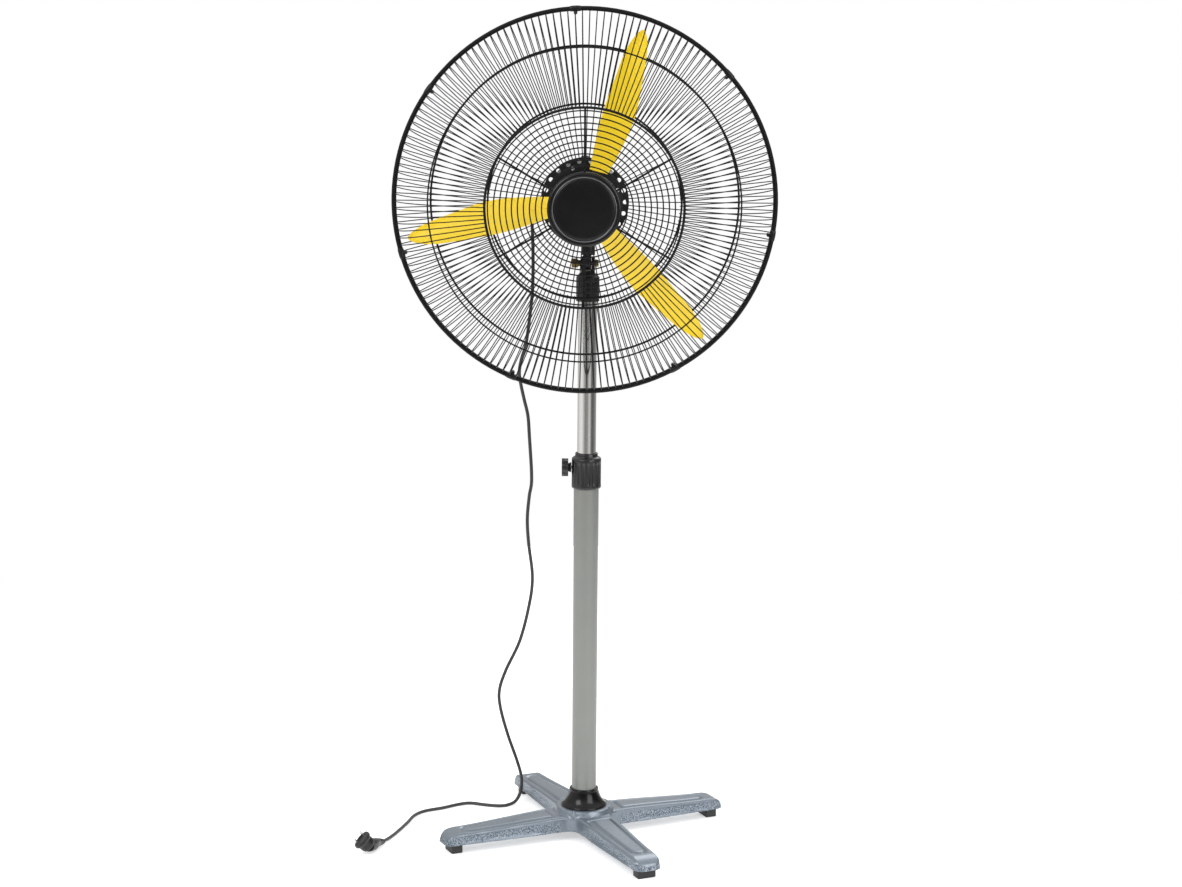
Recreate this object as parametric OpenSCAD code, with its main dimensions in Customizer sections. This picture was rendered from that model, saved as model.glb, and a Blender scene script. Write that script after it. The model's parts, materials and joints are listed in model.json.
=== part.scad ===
// Pedestal fan: a wire-guarded three-blade head on a tilting and swinging neck,
// a telescopic pole and a four-legged cast base.
// Millimetres. Origin on the floor at the pole's axis, +Z up, the fan blows toward -Y.

/* [Guard] */
// outer diameter of the guard
guard_d = 750; // [600:10:900]
// depth of the front dome
dome_depth = 185; // [100:5:220]
// thickness of each rim wire
rim_wire = 9; // [5:0.5:12]
// thickness of the thin wires
thin_wire = 2.6; // [2:0.2:4]
// thin wires round each half
wires = 56; // [42:14:154]
// radius of the middle rings
middle_ring_r = 300; // [260:5:330]
// radius of the ring round the front panel
panel_r = 189; // [150:1:220]
// rings in the front panel
panel_rings = 10; // [6:1:14]
// diameter of the front cap
cap_d = 140; // [100:2:180]

/* [Head] */
// height of the blade axis above the floor
head_z = 1326; // [1000:1:1500]
// sideways offset of the blade axis from the pole
head_x = -7; // [-20:1:20]
// rim plane in front of the pole
rim_forward = 142; // [100:1:200]
// motor diameter
motor_d = 146; // [120:2:180]
// diameter of the plate that carries the rear guard
plate_d = 172; // [150:2:200]

/* [Blades] */
// radius of the blade tips
tip_r = 348; // [300:1:355]
// pitch at the root, degrees
root_pitch = 38; // [25:1:45]
// pitch at the tip, degrees
tip_pitch = 24; // [15:1:35]
// direction of the first blade, degrees from +X
first_blade = 72; // [0:1:119]

/* [Pole] */
// outer tube diameter
outer_tube_d = 51; // [40:1:60]
// inner tube diameter
inner_tube_d = 38; // [30:1:45]
// height of the collar's top above the floor
collar_top = 807; // [600:1:900]
// height of the tilt pivot
tilt_z = 1193; // [1100:1:1250]

/* [Base] */
// distance from the pole to each leg's nose
leg_reach = 318; // [250:1:350]
// direction of the first leg, degrees from +X
leg_turn = 24.8; // [0:0.1:89]
// leg width at the nose
nose_w = 58; // [40:1:70]
// leg width at the middle
root_w = 80; // [60:1:90]

/* [Hidden] */
$fn = 48;
rim_y = -rim_forward;
rim_r = guard_d / 2 - rim_wire / 2;
half_rim = rim_wire / 2;
front_rim_y = rim_y - half_rim;
rear_rim_y = rim_y + half_rim;
rear_y = rim_y + rim_wire + thin_wire / 2;
wire_sides = 6;
panel_edge = dome_depth * sqrt(1 - pow(panel_r / rim_r, 2));
panel_mid = dome_depth - 3;
cap_r = cap_d / 2;
cap_y = rim_y - panel_mid - 8;
cap_ring_r = cap_r - 10;
cap_ring_d = 2.4;
rib_d = 4;
rib_back = 5;
ring_d = 5;
middle_ring_d = 3;

// the clips that hold the guard halves together sit midway between two wires
clips = 7;
first_clip = -1.5 * 360 / wires;

plate_r = plate_d / 2;
plate_back = rear_y + 1.5;
plate_front = rear_y - 1.5;
motor_r = motor_d / 2;
shell_wall = 4;
bell_y = -38;
stack_front = -78;
stack_back = -30;
motor_back = 58;
shaft_d = 14;
bearing_d = 35;
hub_y = -172;
gear_y = 58;
gear_back = 110;
cover_back = 116;
gear_d = 80;

pin_d = 12;
post_d = 28;
post_top = 1231;
saddle_low = post_top + 0.4;
tongue_w = 13.4;
fork_w = 28;
socket_d = 47;
socket_low = 1117;
socket_top = 1165;
socket_screw_up = [12, 32];
socket_screw_d = 8;
tilt_bolt_d = 8;

collar_h = 73;
collar_low = collar_top - collar_h;
collar_d = 60;
// the clamp screw's height above the collar's lower end, and how far the outer tube enters it
clamp_up = 42;
tube_in = 34;
foot_h = 22;
hub_top = 62;
nose_top = 43;
cast_wall = 6;
boss_d = 84;
boss_low = 36;
nut_h = 10;
pad_along = 24;
pad_across = 40;
pad_at = leg_reach - 27;

blade_t = 2;
blade_axis_v = 8;
// the blade is flat as far as this, where it is riveted to the hub's arm
flat_end = 130;
// blade outline: distance from the axis, trailing edge, leading edge
blade_outline = [
  [66, -12, 25], [98, -16, 31], [130, -19.5, 36], [165, -22, 39.5], [200, -22.5, 39.5],
  [240, -21, 34], [280, -20, 28], [310, -16.5, 22.5], [330, -11, 16], [342, -5, 10], [tip_r, 0, 5]
];
blade_cuts = 5;

cord_d = 7;
cord_sides = 8;
cord_steps = 2;
// hairline at each end of a cord, so that two lengths meet without overlapping
cord_gap = 0.01;
// the cord's route: head to neck, neck to mast, mast to floor and plug
route_head = [
  [-84, 96, 1316], [-97, 96, 1314], [-107, 97, 1307], [-114, 98, 1297], [-116, 100, 1285],
  [-115, 104, 1258], [-113, 110, 1195], [-114, 113, 1125], [-120, 117, 1065], [-127, 121, 1010]
];
route_neck = [
  [-127, 121, 1010], [-137, 124, 978], [-141, 127, 950], [-137, 131, 922], [-130, 134, 890]
];
route_fall = [
  [-130, 134, 890], [-123, 138, 858], [-120, 142, 815], [-115, 148, 724], [-120, 152, 685],
  [-124, 155, 635], [-121, 158, 581], [-113, 164, 510], [-119, 169, 450], [-139, 172, 368],
  [-169, 176, 301], [-183, 179, 256], [-181, 183, 215], [-165, 186, 154], [-146, 191, 97],
  [-136, 194, 58], [-137, 190, 28], [-147, 178, 9], [-163, 165, 4], [-182, 157, 4],
  [-212, 163, 4], [-245, 174, 4], [-270, 165, 4], [-303, 140, 4], [-340, 118, 4],
  [-360, 88, 4], [-372, 38, 4], [-390, -25, 4], [-402, -62, 5], [-413, -91, 7.5]
];

plug_at = [-442, -146, 24];
// the plug lies tipped on its edge: direction of its pins seen from above, and their rise
plug_turn = 196;
plug_lean = 43;
plug_d = 40;
pin_gap = 19;

black = [0.04, 0.04, 0.045];
soft_black = [0.09, 0.09, 0.09];
yellow = [0.95, 0.74, 0.05];
silver = [0.72, 0.73, 0.74];
satin_grey = [0.60, 0.61, 0.60];
hammered = [0.33, 0.37, 0.39];
copper = [0.72, 0.42, 0.2];

// ---- helpers ----

// a cylinder along +Y between two stations
module rod_y(y0, y1, d) {
  translate([0, y0, 0]) rotate([-90, 0, 0]) cylinder(h = y1 - y0, d = d);
}

// a cylinder along +X between two stations
module rod_x(x0, x1, d) {
  translate([x0, 0, 0]) rotate([0, 90, 0]) cylinder(h = x1 - x0, d = d);
}

// a ring of wire round the blade axis
module ring_y(y, r, d) {
  translate([0, y, 0]) rotate([-90, 0, 0]) rotate_extrude($fn = 96)
    translate([r, 0]) circle(d = d, $fn = 16);
}

// children placed on the blade axis
module at_head() {
  translate([head_x, 0, head_z]) children();
}

// children repeated round the blade axis, first one at the given angle from +X
module round_y(count, first = 0) {
  for (k = [0 : count - 1]) rotate([0, -first - k * 360 / count, 0]) children();
}

// a wire bent in the X-Y plane along the points, as one closed solid
module bent_wire(points, d) {
  last = len(points) - 1;
  function along(i) = let (v = points[min(i + 1, last)] - points[max(i - 1, 0)]) v / norm(v);
  corners = [
    for (i = [0 : last], k = [0 : wire_sides - 1])
      let (t = along(i), a = 360 * k / wire_sides, n = [-t[1], t[0]] * cos(a) * d / 2)
      [points[i][0] + n[0], points[i][1] + n[1], sin(a) * d / 2]
  ];
  walls = [
    for (i = [0 : last - 1], k = [0 : wire_sides - 1])
      let (a = i * wire_sides + k, b = i * wire_sides + (k + 1) % wire_sides)
      [a, b, b + wire_sides, a + wire_sides]
  ];
  start = [for (k = [wire_sides - 1 : -1 : 0]) k];
  end = [for (k = [0 : wire_sides - 1]) last * wire_sides + k];
  polyhedron(corners, concat([start, end], walls));
}

// a smooth curve through the route's points
function through(p0, p1, p2, p3, t) =
  0.5 * (2 * p1 + (p2 - p0) * t + (2 * p0 - 5 * p1 + 4 * p2 - p3) * t * t
  + (3 * p1 - p0 - 3 * p2 + p3) * t * t * t);
function smooth(route) = let (last = len(route) - 1) concat(
  [for (i = [0 : last - 1], s = [0 : cord_steps - 1])
    through(route[max(i - 1, 0)], route[i], route[i + 1], route[min(i + 2, last)], s / cord_steps)],
  [route[last]]);
function unit(v) = v / norm(v);

// a round cord along a route; its frame is carried from ring to ring without twist
module cord_tube(route, before, after) {
  pts = smooth(route);
  last = len(pts) - 1;
  function dir(i) = unit(
    i == 0 ? route[1] - before
    : i == last ? after - route[len(route) - 2]
    : pts[i + 1] - pts[i - 1]);
  function sides(i) = i == 0
    ? unit(cross(dir(0), [0.3, 1, 0.2]))
    : let (s = sides(i - 1), t = dir(i)) unit(s - (s * t) * t);
  corners = [
    for (i = [0 : last])
      let (t = dir(i), n = sides(i), b = cross(t, n))
      let (gap = i == 0 ? cord_gap : i == last ? -cord_gap : 0)
      for (k = [0 : cord_sides - 1])
        let (a = 360 * k / cord_sides) pts[i] + t * gap + (n * cos(a) + b * sin(a)) * cord_d / 2
  ];
  walls = [
    for (i = [0 : last - 1], k = [0 : cord_sides - 1])
      let (a = i * cord_sides + k, b = i * cord_sides + (k + 1) % cord_sides)
      [a, a + cord_sides, b + cord_sides, b]
  ];
  start = [for (k = [0 : cord_sides - 1]) k];
  end = [for (k = [cord_sides - 1 : -1 : 0]) last * cord_sides + k];
  polyhedron(corners, concat([start, end], walls));
}

// ---- base and pole ----

// outline of the casting seen from above, rounded at the noses and in the valleys
module base_plan() {
  offset(r = -24) offset(delta = 24) offset(r = 17) offset(delta = -17) union() {
    circle(r = 52);
    for (k = [0 : 3]) rotate([0, 0, leg_turn + 90 * k]) polygon([
      [0, -root_w / 2], [leg_reach, -nose_w / 2], [leg_reach, nose_w / 2], [0, root_w / 2]
    ]);
  }
}

// the casting's hollow underside, with the tube's boss and the pads' bosses left standing
module base_hollow() {
  difference() {
    union() {
      translate([0, 0, foot_h - 1]) cylinder(h = hub_top - foot_h - cast_wall, d = boss_d + 20);
      for (k = [0 : 3]) rotate([0, 0, leg_turn + 90 * k])
        translate([0, 0, foot_h - 1]) linear_extrude(nose_top - foot_h - cast_wall) polygon([
          [0, cast_wall - root_w / 2], [leg_reach - 12, cast_wall - nose_w / 2],
          [leg_reach - 12, nose_w / 2 - cast_wall], [0, root_w / 2 - cast_wall]
        ]);
    }
    translate([0, 0, boss_low]) cylinder(h = hub_top, d = boss_d);
    for (k = [0 : 3]) rotate([0, 0, leg_turn + 90 * k]) translate([pad_at, 0, foot_h - 2])
      cylinder(h = hub_top, d = pad_across);
  }
}

module base() {
  color(hammered) difference() {
    intersection() {
      translate([0, 0, foot_h]) linear_extrude(hub_top) base_plan();
      rotate_extrude() polygon([
        [0, 0], [leg_reach + 9, 0], [leg_reach + 9, nose_top - 16], [leg_reach - 3, nose_top - 5],
        [leg_reach - 20, nose_top], [66, nose_top + 9], [62, hub_top - 1], [60, hub_top], [0, hub_top]
      ]);
    }
    base_hollow();
    translate([0, 0, foot_h]) cylinder(h = hub_top, d = outer_tube_d + 0.4);
  }
}

module foot_pads() {
  color(black) for (k = [0 : 3])
    rotate([0, 0, leg_turn + 90 * k]) translate([pad_at, 0, foot_h / 2])
      cube([pad_along, pad_across, foot_h], center = true);
}

// nut on the tube's threaded end, drawn up against the boss
module base_nut() {
  color(silver) difference() {
    translate([0, 0, boss_low - nut_h]) cylinder(h = nut_h, d = 72, $fn = 6);
    translate([0, 0, boss_low - nut_h - 1]) cylinder(h = nut_h + 2, d = outer_tube_d);
  }
}

module cone_cover() {
  color(black) translate([0, 0, hub_top]) rotate_extrude() polygon([
    [outer_tube_d / 2, 0], [47.5, 0], [46.5, 4], [37, 12], [32, 23], [29.5, 35], [28.5, 37],
    [outer_tube_d / 2, 37]
  ]);
}

module outer_tube() {
  low = boss_low - nut_h - 3;
  high = collar_low + tube_in;
  color(satin_grey) difference() {
    translate([0, 0, low]) cylinder(h = high - low, d = outer_tube_d);
    translate([0, 0, low - 1]) cylinder(h = high - low + 2, d = outer_tube_d - 3.2);
  }
}

// the clamp collar with its fluted grip
module collar() {
  flutes = 20;
  body_h = 62;
  color(soft_black) difference() {
    union() {
      translate([0, 0, collar_low]) cylinder(h = body_h, d = collar_d);
      translate([0, 0, collar_low + body_h]) cylinder(h = 4, d1 = collar_d, d2 = 52);
      translate([0, 0, collar_low + body_h]) cylinder(h = collar_h - body_h, d = 46);
    }
    translate([0, 0, collar_low - 1]) cylinder(h = tube_in + 1, d = outer_tube_d);
    translate([0, 0, collar_low + tube_in - 1]) cylinder(h = collar_h, d = inner_tube_d + 2.4);
    translate([0, 0, collar_low + clamp_up]) rotate([0, -90, 0]) cylinder(h = 60, d = 8.1);
    for (k = [1 : flutes - 1]) rotate([0, 0, 180 + 360 * k / flutes])
      translate([collar_d / 2 + 1, 0, collar_low + 6]) cylinder(h = 50, d = 6, $fn = 16);
  }
}

// plain sleeve that guides the inner tube in the collar
module collar_bush() {
  long = collar_h - tube_in - 2;
  color(silver) difference() {
    translate([0, 0, collar_low + tube_in]) cylinder(h = long, d = inner_tube_d + 2.4);
    translate([0, 0, collar_low + tube_in - 1]) cylinder(h = long + 2, d = inner_tube_d + 0.1);
    translate([0, 0, collar_low + clamp_up]) rotate([0, -90, 0]) cylinder(h = 60, d = 8.6);
  }
}

module height_screw() {
  color(silver) translate([0, 0, collar_low + clamp_up]) rod_x(-45, -inner_tube_d / 2 - 0.3, 8);
}

module height_knob() {
  back = -collar_d / 2 - 0.5;
  color(black) translate([0, 0, collar_low + clamp_up]) difference() {
    union() {
      translate([-38, 0, 0]) rotate([0, 90, 0]) cylinder(h = 38 + back, d1 = 16, d2 = 22);
      rod_x(-50, -37, 33);
      for (k = [0 : 3]) rotate([45 * k, 0, 0]) translate([-43.5, 0, 0])
        cube([13, 36, 5], center = true);
    }
    rod_x(-45, 0, 8);
  }
}

module inner_tube() {
  low = 420;
  high = socket_top - 5;
  color(silver) difference() {
    translate([0, 0, low]) cylinder(h = high - low, d = inner_tube_d);
    translate([0, 0, low - 1]) cylinder(h = high - low + 2, d = inner_tube_d - 3);
  }
}

// ---- neck ----

// casting on top of the inner tube, with the two ears of the tilt hinge
module tube_socket() {
  color(black) difference() {
    union() {
      translate([0, 0, socket_low]) cylinder(h = socket_top - socket_low, d = socket_d);
      translate([0, 0, socket_top]) cylinder(h = 8, d1 = socket_d, d2 = 34);
      intersection() {
        translate([-fork_w / 2, -14, socket_top - 5]) cube([fork_w, 28, 48]);
        union() {
          translate([-20, -14, socket_top - 6]) cube([40, 28, tilt_z - socket_top + 6]);
          translate([0, 0, tilt_z]) rod_x(-20, 20, 28);
        }
      }
    }
    translate([0, 0, socket_low - 1]) cylinder(h = socket_top - 4 - socket_low, d = inner_tube_d);
    socket_screw_places() cylinder(h = 9, d = socket_screw_d + 0.2);
    translate([-tongue_w / 2 - 0.3, -20, tilt_z - 15]) cube([tongue_w + 0.6, 40, 40]);
    translate([0, 0, tilt_z]) rod_x(-30, 30, tilt_bolt_d + 0.1);
  }
}

// children on the seats of the two screws in front of the socket
module socket_screw_places() {
  for (up = socket_screw_up) translate([0, 1 - socket_d / 2, socket_low + up])
    rotate([90, 0, 0]) children();
}

module socket_screws() {
  color(silver) socket_screw_places() cylinder(h = 4, d = socket_screw_d);
}

// tongue, post and swing pin
module tilt_neck() {
  color(black) difference() {
    union() {
      translate([0, 0, tilt_z]) rod_x(-tongue_w / 2, tongue_w / 2, 27);
      translate([-tongue_w / 2, -13.5, tilt_z]) cube([tongue_w, 27, 19]);
      translate([0, 0, tilt_z + 17]) cylinder(h = post_top - tilt_z - 17, d = post_d);
      translate([0, 0, post_top - 1]) cylinder(h = 16, d = pin_d);
    }
    translate([0, 0, tilt_z]) rod_x(-30, 30, tilt_bolt_d);
  }
}

module tilt_bolt() {
  color(silver) translate([0, 0, tilt_z]) {
    rod_x(-26, 17.5, tilt_bolt_d);
    translate([17.5, 0, 0]) rotate([0, 90, 0]) cylinder(h = 4, d = 14, $fn = 6);
  }
}

module tilt_nut() {
  color(silver) translate([0, 0, tilt_z]) difference() {
    rod_x(fork_w / 2 + 0.4, 17.5, 16);
    rod_x(10, 30, tilt_bolt_d);
  }
}

module tilt_knob() {
  color(black) translate([0, 0, tilt_z]) difference() {
    union() {
      rod_x(-20, -fork_w / 2 - 0.4, 13);
      rod_x(-33, -20, 16);
      for (k = [0 : 2]) rotate([60 * k, 0, 0]) translate([-26.5, 0, 0])
        cube([11, 18.5, 4], center = true);
    }
    rod_x(-26.05, 0, tilt_bolt_d + 0.1);
  }
}

// ---- motor ----

// casting under the motor that turns on the swing pin
module saddle() {
  color(black) difference() {
    union() {
      translate([0, 0, saddle_low]) cylinder(h = 34, d = 38);
      translate([-32, -30, saddle_low + 14]) cube([46, 60, 22]);
    }
    translate([0, 0, saddle_low - 1]) cylinder(h = 30, d = pin_d + 0.1);
    at_head() rod_y(-60, 60, motor_d);
  }
}

module motor_front_bell() {
  color(black) at_head() difference() {
    rod_y(plate_back, bell_y, motor_d);
    rod_y(plate_back + 8, bell_y + 1, motor_d - 2 * shell_wall);
    rod_y(plate_back - 1, plate_back + 9, shaft_d + 6);
    rod_y(plate_back + 2, plate_back + 9, bearing_d);
    round_y(12, 15) translate([50, plate_back + 4, 0]) cube([22, 10, 7], center = true);
  }
}

module motor_rear_bell() {
  color(black) at_head() difference() {
    union() {
      rod_y(bell_y, motor_back - 8, motor_d);
      translate([0, motor_back - 8, 0]) rotate([-90, 0, 0])
        cylinder(h = 8, d1 = motor_d, d2 = motor_d - 16);
    }
    rod_y(bell_y - 1, motor_back - 12, motor_d - 2 * shell_wall);
    rod_y(motor_back - 13, motor_back + 1, shaft_d + 6);
    rod_y(motor_back - 13, motor_back - 2, bearing_d);
    round_y(20, 9) translate([motor_r, motor_back - 45, 0]) cube([8, 44, 4], center = true);
  }
}

module stator_core() {
  color(silver) at_head() difference() {
    rod_y(stack_front, stack_back, motor_d - 2 * shell_wall);
    rod_y(stack_front - 1, stack_back + 1, 76);
  }
}

module stator_coils() {
  color(copper) at_head() for (y = [stack_front - 14, stack_back]) difference() {
    rod_y(y, y + 14, 132);
    rod_y(y - 1, y + 15, 92);
  }
}

// bearing rings and the balls' track as one sealed unit
module bearing(y) {
  color(silver) at_head() difference() {
    rod_y(y, y + 7, bearing_d);
    rod_y(y - 1, y + 8, shaft_d);
  }
}

module front_bearing() {
  bearing(plate_back + 2);
}

module rear_bearing() {
  bearing(motor_back - 11);
}

module motor_screws() {
  color(silver) at_head() round_y(4, 45)
    translate([motor_r - 14, 0, 0]) rod_y(motor_back, motor_back + 4, 8);
}

module guard_plate() {
  color(black) at_head() difference() {
    rod_y(plate_front, plate_back, plate_d);
    rod_y(plate_front - 1, plate_back + 1, 44);
    round_y(22) translate([plate_r - 7.5, 0, 0]) rod_y(plate_front - 1, plate_back + 1, 8.5);
  }
}

module plate_screws() {
  color(silver) at_head() round_y(4, 20) translate([68, 0, 0]) rod_y(plate_front - 3, plate_front, 8);
}

module gearbox() {
  color(black) at_head() difference() {
    union() {
      rod_y(gear_y, gear_back, gear_d);
      translate([0, 84, 0]) cylinder(h = 52, d = 24);
      translate([-50, 96, -10]) rod_x(0, 20, 20);
    }
    rod_y(gear_y + 6, gear_back + 1, gear_d - 8);
    rod_y(gear_y - 1, gear_y + 7, shaft_d + 6);
    translate([0, 84, 30]) cylinder(h = 30, d = 8.1);
    translate([-52, 96, -10]) rod_x(0, 24, 12);
  }
}

module gear_cover() {
  color(black) at_head() difference() {
    rod_y(gear_back, cover_back, gear_d);
    rod_y(gear_back - 1, cover_back + 1, 8.1);
  }
}

module cover_screws() {
  color(silver) at_head() round_y(3, 90) translate([32, 0, 0]) rod_y(cover_back, cover_back + 3, 7);
}

// push-pull knob that engages the swing drive
module swing_knob() {
  color(black) at_head() translate([0, 84, 0]) {
    translate([0, 0, 38]) cylinder(h = 24, d = 8);
    translate([0, 0, 62]) cylinder(h = 12, d1 = 16, d2 = 20);
    translate([0, 0, 74]) cylinder(h = 3, d1 = 20, d2 = 14);
  }
}

module speed_knob() {
  color(black) at_head() {
    rod_y(gear_back + 1, cover_back + 6, 8);
    rod_y(cover_back + 0.5, cover_back + 16, 34);
    translate([-3, cover_back + 16, -15]) cube([6, 4, 30]);
  }
}

module cord_gland() {
  color(black) at_head() translate([0, 96, -10]) {
    translate([-50, 0, 0]) rotate([0, -90, 0]) cylinder(h = 6, d = 18);
    translate([-56, 0, 0]) rotate([0, -90, 0]) cylinder(h = 21, d1 = 14, d2 = 9);
    rod_x(-52, -32, 12);
  }
}

// ---- guard ----

function dome_y(turn) = rim_y - dome_depth * sin(turn);
function dome_r(turn) = (rim_r - 0.5) * cos(turn);

module rear_rim() {
  color(black) at_head() ring_y(rear_rim_y, rim_r, rim_wire);
}

module rear_rings() {
  color(black) at_head() for (r = [middle_ring_r, panel_r])
    ring_y(rear_y + thin_wire / 2 + 2, r, 4);
}

// straight wires from the plate to the back of the rear rim
module rear_wires() {
  color(black) at_head() round_y(wires)
    bent_wire([[plate_r + 0.05, rear_y], [rim_r + 2, rear_y]], thin_wire);
}

module front_rim() {
  color(black) at_head() ring_y(front_rim_y, rim_r, rim_wire);
}

module front_wires() {
  steps = 8;
  first = asin((rim_wire + 0.3) / dome_depth);
  last = acos((panel_r + 2.8) / rim_r);
  color(black) at_head() round_y(wires) bent_wire(
    [for (k = [0 : steps]) let (turn = first + (last - first) * k / steps)
      [dome_r(turn), dome_y(turn)]],
    thin_wire);
}

module front_middle_ring() {
  turn = acos(middle_ring_r / rim_r);
  color(black) at_head() ring_y(dome_y(turn) + 2.4, middle_ring_r - 1.7, middle_ring_d);
}

module front_panel_ring() {
  color(black) at_head() ring_y(rim_y - panel_edge, panel_r - 1, ring_d);
}

// the shallow cone of the front panel: station in front of the rim plane at a radius
function panel_y(r) = rim_y - panel_mid + (panel_mid - panel_edge) * (r - cap_r) / (panel_r - cap_r);

module front_ribs() {
  inner = cap_r - 6;
  lean = atan((panel_mid - panel_edge) / (panel_r - cap_r));
  color(black) at_head() round_y(6, 30)
    translate([inner, panel_y(inner) + rib_back, 0]) rotate([0, 0, lean])
      rotate([0, 90, 0]) cylinder(h = (panel_r - inner) / cos(lean), d = rib_d);
}

module front_panel_rings() {
  step = (panel_r - cap_r) / (panel_rings + 0.5);
  color(black) at_head() for (k = [1 : panel_rings])
    let (r = cap_r + step * (k - 0.1))
      ring_y(panel_y(r) + rib_back - rib_d / 2 - thin_wire / 2, r, thin_wire);
}

// round cap over the middle of the front panel
module guard_cap() {
  color(black) at_head() difference() {
    translate([0, cap_y, 0]) rotate([-90, 0, 0]) rotate_extrude() polygon([
      [0, -3], [30, -2.4], [cap_ring_r - 3, -0.5], [cap_ring_r + 3, 0], [cap_r - 3, 0],
      [cap_r - 0.6, 1.2], [cap_r, 4], [cap_r, 9], [cap_r - 3, 9], [cap_r - 5, 5], [0, 5]
    ]);
    ring_y(cap_y, cap_ring_r, cap_ring_d + 0.1);
  }
}

module cap_ring() {
  color(silver) at_head() ring_y(cap_y, cap_ring_r, cap_ring_d);
}

// a folded strap round both rims
module guard_clips() {
  long = 26;
  wide = rim_wire * 2 + 5;
  color(black) at_head() round_y(clips, first_clip)
    translate([rim_r, rim_y, 0]) difference() {
      cube([rim_wire + 5, wide, long], center = true);
      cube([rim_wire + 0.7, rim_wire * 2 + 0.6, long + 2], center = true);
    }
}

module clip_screws() {
  color(silver) at_head() round_y(clips, first_clip)
    translate([rim_r, 0, 0]) rod_y(rim_y - rim_wire - 4.7, rim_y - rim_wire - 2.5, 6);
}

// ---- rotor ----

module shaft() {
  color(silver) at_head() rod_y(hub_y - 28, gear_y + 20, shaft_d);
}

module rotor_core() {
  color(silver) at_head() difference() {
    rod_y(stack_front, stack_back, 75);
    rod_y(stack_front - 1, stack_back + 1, shaft_d);
  }
}

// children in a blade's own frame: X along the blade, Z across it, leading edge at -Z
module on_blade(k) {
  at_head() rotate([0, -first_blade - 120 * k, 0]) translate([0, hub_y, -blade_axis_v])
    children();
}

module blade_hub() {
  color(silver) difference() {
    union() {
      at_head() rod_y(hub_y - 18, hub_y + 22, 44);
      at_head() rod_y(hub_y + 8, hub_y + 14, 96);
      for (k = [0 : 2]) on_blade(k) rotate([root_pitch, 0, 0])
        translate([20, blade_t / 2 + 0.05, -13]) cube([92, 5, 26]);
    }
    at_head() rod_y(hub_y - 40, hub_y + 40, shaft_d);
  }
}

module hub_nut() {
  color(silver) at_head() translate([0, hub_y - 26, 0]) rotate([-90, 0, 0]) difference() {
    cylinder(h = 8, d = 24, $fn = 6);
    translate([0, 0, -1]) cylinder(h = 10, d = shaft_d);
  }
}

// pitch of the blade at a distance from the axis
function pitch(u) = u < flat_end ? root_pitch
  : root_pitch + (tip_pitch - root_pitch) * (u - flat_end) / (tip_r - flat_end);
// camber: the middle of the chord bulges toward the back, beyond the riveted root
function bulge(u, share) = 16 * max(0, min(1, (u - flat_end) / 60)) * share * (1 - share);
// a corner of the sheet: across the outline by share, on one side of the middle surface
function blade_corner(cut, share, side) =
  let (u = cut[0], w = cut[1] + (cut[2] - cut[1]) * share - blade_axis_v, p = pitch(u))
  [u, w * tan(p) + side * blade_t / 2 / cos(p) + bulge(u, share), -w];

module blade(k) {
  rows = len(blade_outline);
  per = blade_cuts + 1;
  corners = [
    for (side = [-1, 1], cut = blade_outline, j = [0 : blade_cuts])
      blade_corner(cut, j / blade_cuts, side)
  ];
  function at(side, i, j) = side * rows * per + i * per + j;
  front = [for (i = [0 : rows - 2], j = [0 : blade_cuts - 1]) each [
    [at(0, i, j), at(0, i, j + 1), at(0, i + 1, j + 1)],
    [at(0, i, j), at(0, i + 1, j + 1), at(0, i + 1, j)]]];
  back = [for (i = [0 : rows - 2], j = [0 : blade_cuts - 1]) each [
    [at(1, i, j), at(1, i + 1, j + 1), at(1, i, j + 1)],
    [at(1, i, j), at(1, i + 1, j), at(1, i + 1, j + 1)]]];
  edges = concat(
    [for (i = [0 : rows - 2]) each [
      [at(0, i, 0), at(0, i + 1, 0), at(1, i + 1, 0), at(1, i, 0)],
      [at(0, i, blade_cuts), at(1, i, blade_cuts), at(1, i + 1, blade_cuts),
       at(0, i + 1, blade_cuts)]]],
    [for (j = [0 : blade_cuts - 1]) each [
      [at(0, 0, j), at(1, 0, j), at(1, 0, j + 1), at(0, 0, j + 1)],
      [at(0, rows - 1, j), at(0, rows - 1, j + 1), at(1, rows - 1, j + 1),
       at(1, rows - 1, j)]]]);
  color(yellow) on_blade(k) polyhedron(corners, concat(front, back, edges));
}

module blade_rivets() {
  color(silver) for (k = [0 : 2], u = [76, 100]) on_blade(k) rotate([root_pitch, 0, 0])
    translate([u, -blade_t / 2 - 2, 0]) rotate([-90, 0, 0]) cylinder(h = 2, d = 9);
}

// ---- cord and plug ----

module cord_head() {
  color(black) cord_tube(route_head, route_head[0] + [40, 0, 0], route_neck[1]);
}

module cord_neck() {
  color(black) cord_tube(route_neck, route_head[len(route_head) - 2], route_fall[1]);
}

module cord_fall() {
  end = len(route_fall) - 1;
  toward_plug = plug_at - route_fall[end];
  color(black) cord_tube(route_fall, route_neck[len(route_neck) - 2], route_fall[end - 1] + toward_plug);
}

// children in the plug's frame: X toward the pins, origin at its middle
module at_plug() {
  translate(plug_at) rotate([0, -plug_lean, plug_turn]) children();
}

// tapered relief from the plug's side to the end of the cord
module plug_relief() {
  run = route_fall[len(route_fall) - 1] - plug_at;
  turn = atan2(run[1], run[0]);
  lean = acos(run[2] / norm(run));
  color(black) difference() {
    translate(plug_at) rotate([0, lean, turn]) translate([0, 0, 10])
      cylinder(h = norm(run) - 10, d1 = 15, d2 = cord_d + 1.5);
    at_plug() rod_x(-13, 13, plug_d);
  }
}

module plug_body() {
  color(black) at_plug() {
    rod_x(-13, 11, plug_d);
    translate([11, 0, 0]) rotate([0, 90, 0]) cylinder(h = 2, d1 = plug_d, d2 = plug_d - 4);
  }
}

module plug_pins() {
  color(silver) at_plug() for (side = [-1, 1])
    translate([0, 0, side * pin_gap / 2]) rod_x(13, 32, 4.8);
}

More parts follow.
